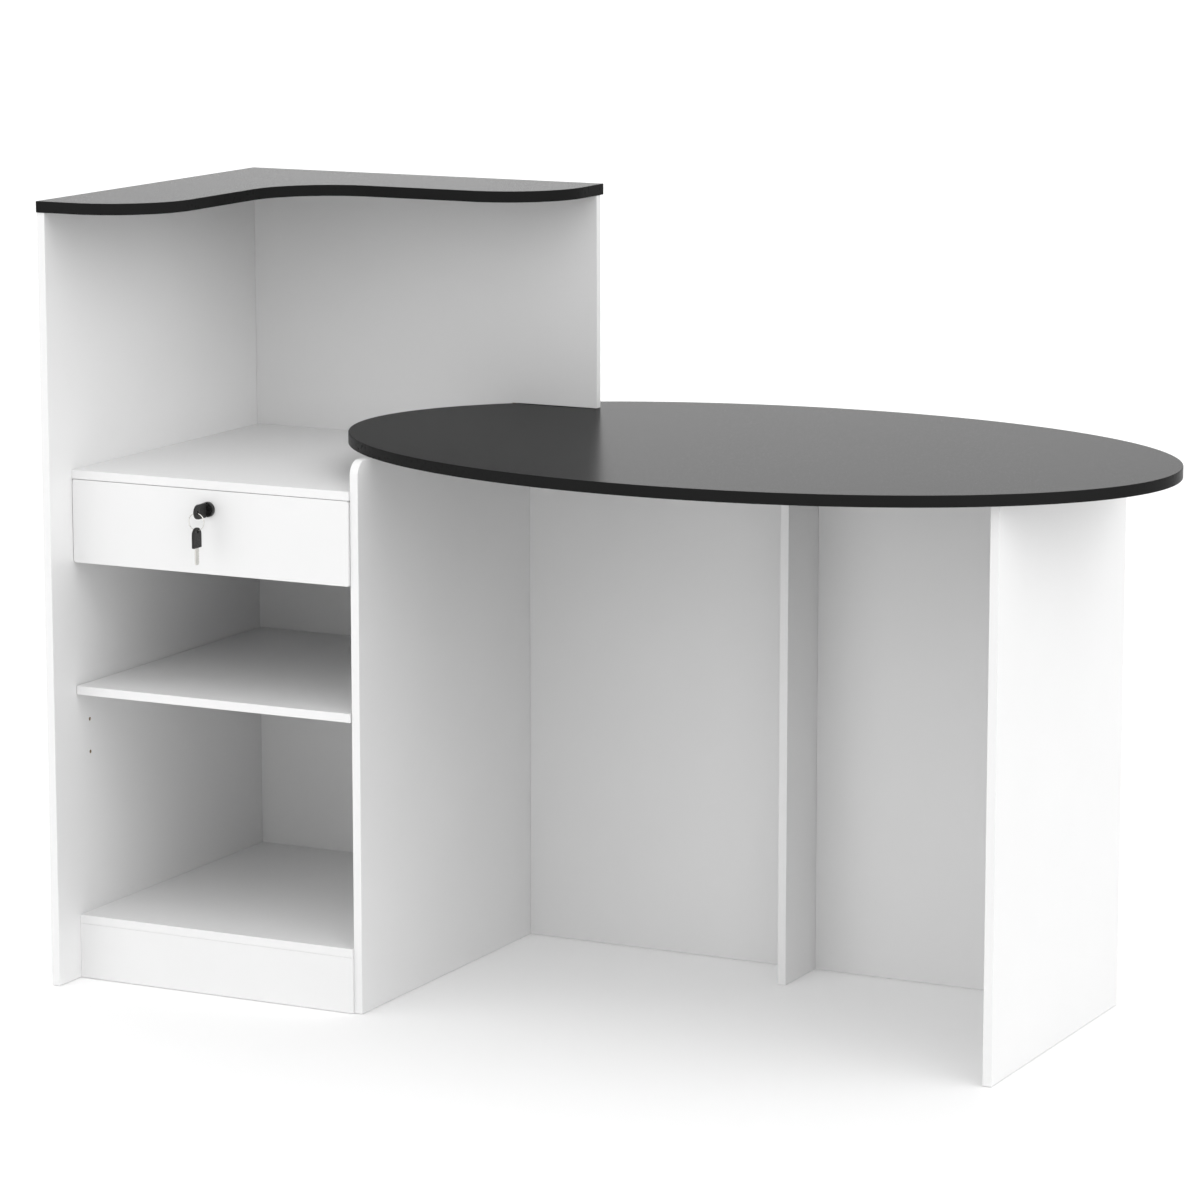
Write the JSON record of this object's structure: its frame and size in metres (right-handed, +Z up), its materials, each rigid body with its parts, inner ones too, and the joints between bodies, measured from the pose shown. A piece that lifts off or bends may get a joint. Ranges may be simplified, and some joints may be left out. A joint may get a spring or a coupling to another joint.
{
  "type": "checkout counter",
  "caption": "Checkout counter: drawer cabinet with open shelves and a raised L-shaped service counter, joined to an oval desk top on panel legs.",
  "frame": {"origin": "centre of the counter's footprint, on the floor", "axes": "+X to the right along the counter as the operator sees it, +Y away from the operator towards the customer, +Z up"},
  "size_m": [1.457, 0.734, 1.056],
  "materials": {
    "white_melamine": "matte white melamine with a fine orange-peel texture",
    "black_melamine": "satin black melamine",
    "black_plastic": "moulded black plastic",
    "black_lock": "black-lacquered die casting",
    "nickel": "nickel plate",
    "zinc": "bright zinc plate",
    "cam_zinc": "cast zinc alloy",
    "runner_white": "white epoxy powder coat",
    "white_plastic": "moulded white plastic",
    "beech": "fluted beech"
  },
  "bodies": {
    "carcass": {"tall_side_panel": "white_melamine", "back_panel": "white_melamine", "cabinet_side_right": "white_melamine", "cabinet_top": "white_melamine", "cabinet_floor": "white_melamine", "kick_board": "white_melamine", "desk_back_left": "white_melamine", "desk_back_right": "white_melamine", "divider": "white_melamine", "end_panel": "white_melamine", "oval_desk_top": "black_melamine", "raised_counter_top": "black_melamine", "cabinet_runner_left": "runner_white", "cabinet_runner_right": "runner_white", "cam_covers": "white_plastic", "floor_glides": "white_plastic", "cam_locks": "cam_zinc", "cam_bolts": "zinc", "dowels": "beech", "desk_brackets": "zinc", "counter_brackets": "zinc", "bracket_screws": "zinc", "cabinet_runner_screws": "zinc", "shelf_pins": "zinc"},
    "drawer": {"drawer_front": "white_melamine", "drawer_side_left": "white_melamine", "drawer_side_right": "white_melamine", "drawer_back": "white_melamine", "drawer_bottom": "white_melamine", "drawer_runner_left": "runner_white", "drawer_runner_right": "runner_white", "drawer_runner_screws": "zinc", "drawer_dowels": "beech", "lock_case": "black_lock", "lock_screws": "zinc"},
    "lock_plug": {"lock_plug": "black_lock"},
    "lock_bolt": {"lock_bolt": "nickel"},
    "key": {"key_bow": "black_plastic", "key_blade": "nickel"},
    "key_ring": {"key_ring": "nickel"},
    "spare_key": {"spare_key_bow": "black_plastic", "spare_key_blade": "nickel"},
    "cabinet_rollers": {"cabinet_roller_left": "white_plastic", "cabinet_roller_right": "white_plastic"},
    "drawer_rollers": {"drawer_roller_left": "white_plastic", "drawer_roller_right": "white_plastic"},
    "shelf": {"adjustable_shelf": "white_melamine"}
  },
  "joints": [
    {"name": "drawer_slide", "type": "slide", "parent": "carcass", "child": "drawer", "axis": [0, -1, 0], "range_m": [0, 0.32]},
    {"name": "cabinet_roller_spin", "type": "hinge", "parent": "carcass", "child": "cabinet_rollers", "pos_m": [-0.5045, -0.238, 0.5857], "axis": [1, 0, 0], "range_deg": [0, 1530]},
    {"name": "drawer_roller_spin", "type": "hinge", "parent": "drawer", "child": "drawer_rollers", "pos_m": [-0.5045, 0.129, 0.5857], "axis": [1, 0, 0], "range_deg": [0, 1530]},
    {"name": "key_turn", "type": "hinge", "parent": "drawer", "child": "lock_plug", "pos_m": [-0.5045, -0.273, 0.657], "axis": [0, 1, 0], "range_deg": [0, 90]},
    {"name": "bolt_lift", "type": "slide", "parent": "drawer", "child": "lock_bolt", "axis": [0, 0, 1], "range_m": [0, 0.008]},
    {"name": "key_withdraw", "type": "slide", "parent": "lock_plug", "child": "key", "axis": [0, -1, 0], "range_m": [0, 0.024]},
    {"name": "ring_turn", "type": "hinge", "parent": "key", "child": "key_ring", "pos_m": [-0.5045, -0.3, 0.6446], "axis": [0, 1, 0], "range_deg": [-90, 0]},
    {"name": "spare_key_swing", "type": "hinge", "parent": "key_ring", "child": "spare_key", "pos_m": [-0.5045, -0.3, 0.6331], "axis": [1, 0, 0], "range_deg": [-60, 20]},
    {"name": "shelf_lift", "type": "slide", "parent": "carcass", "child": "shelf", "axis": [0, 0, 1], "range_m": [0, 0.15]}
  ],
  "couplings": [
    {"joint": "cabinet_roller_spin", "follows": "drawer_slide", "rad_per_m": 83.333},
    {"joint": "drawer_roller_spin", "follows": "drawer_slide", "rad_per_m": 83.333},
    {"joint": "bolt_lift", "follows": "key_turn", "m_per_rad": 0.005093},
    {"joint": "ring_turn", "follows": "key_turn", "ratio": -1}
  ]
}
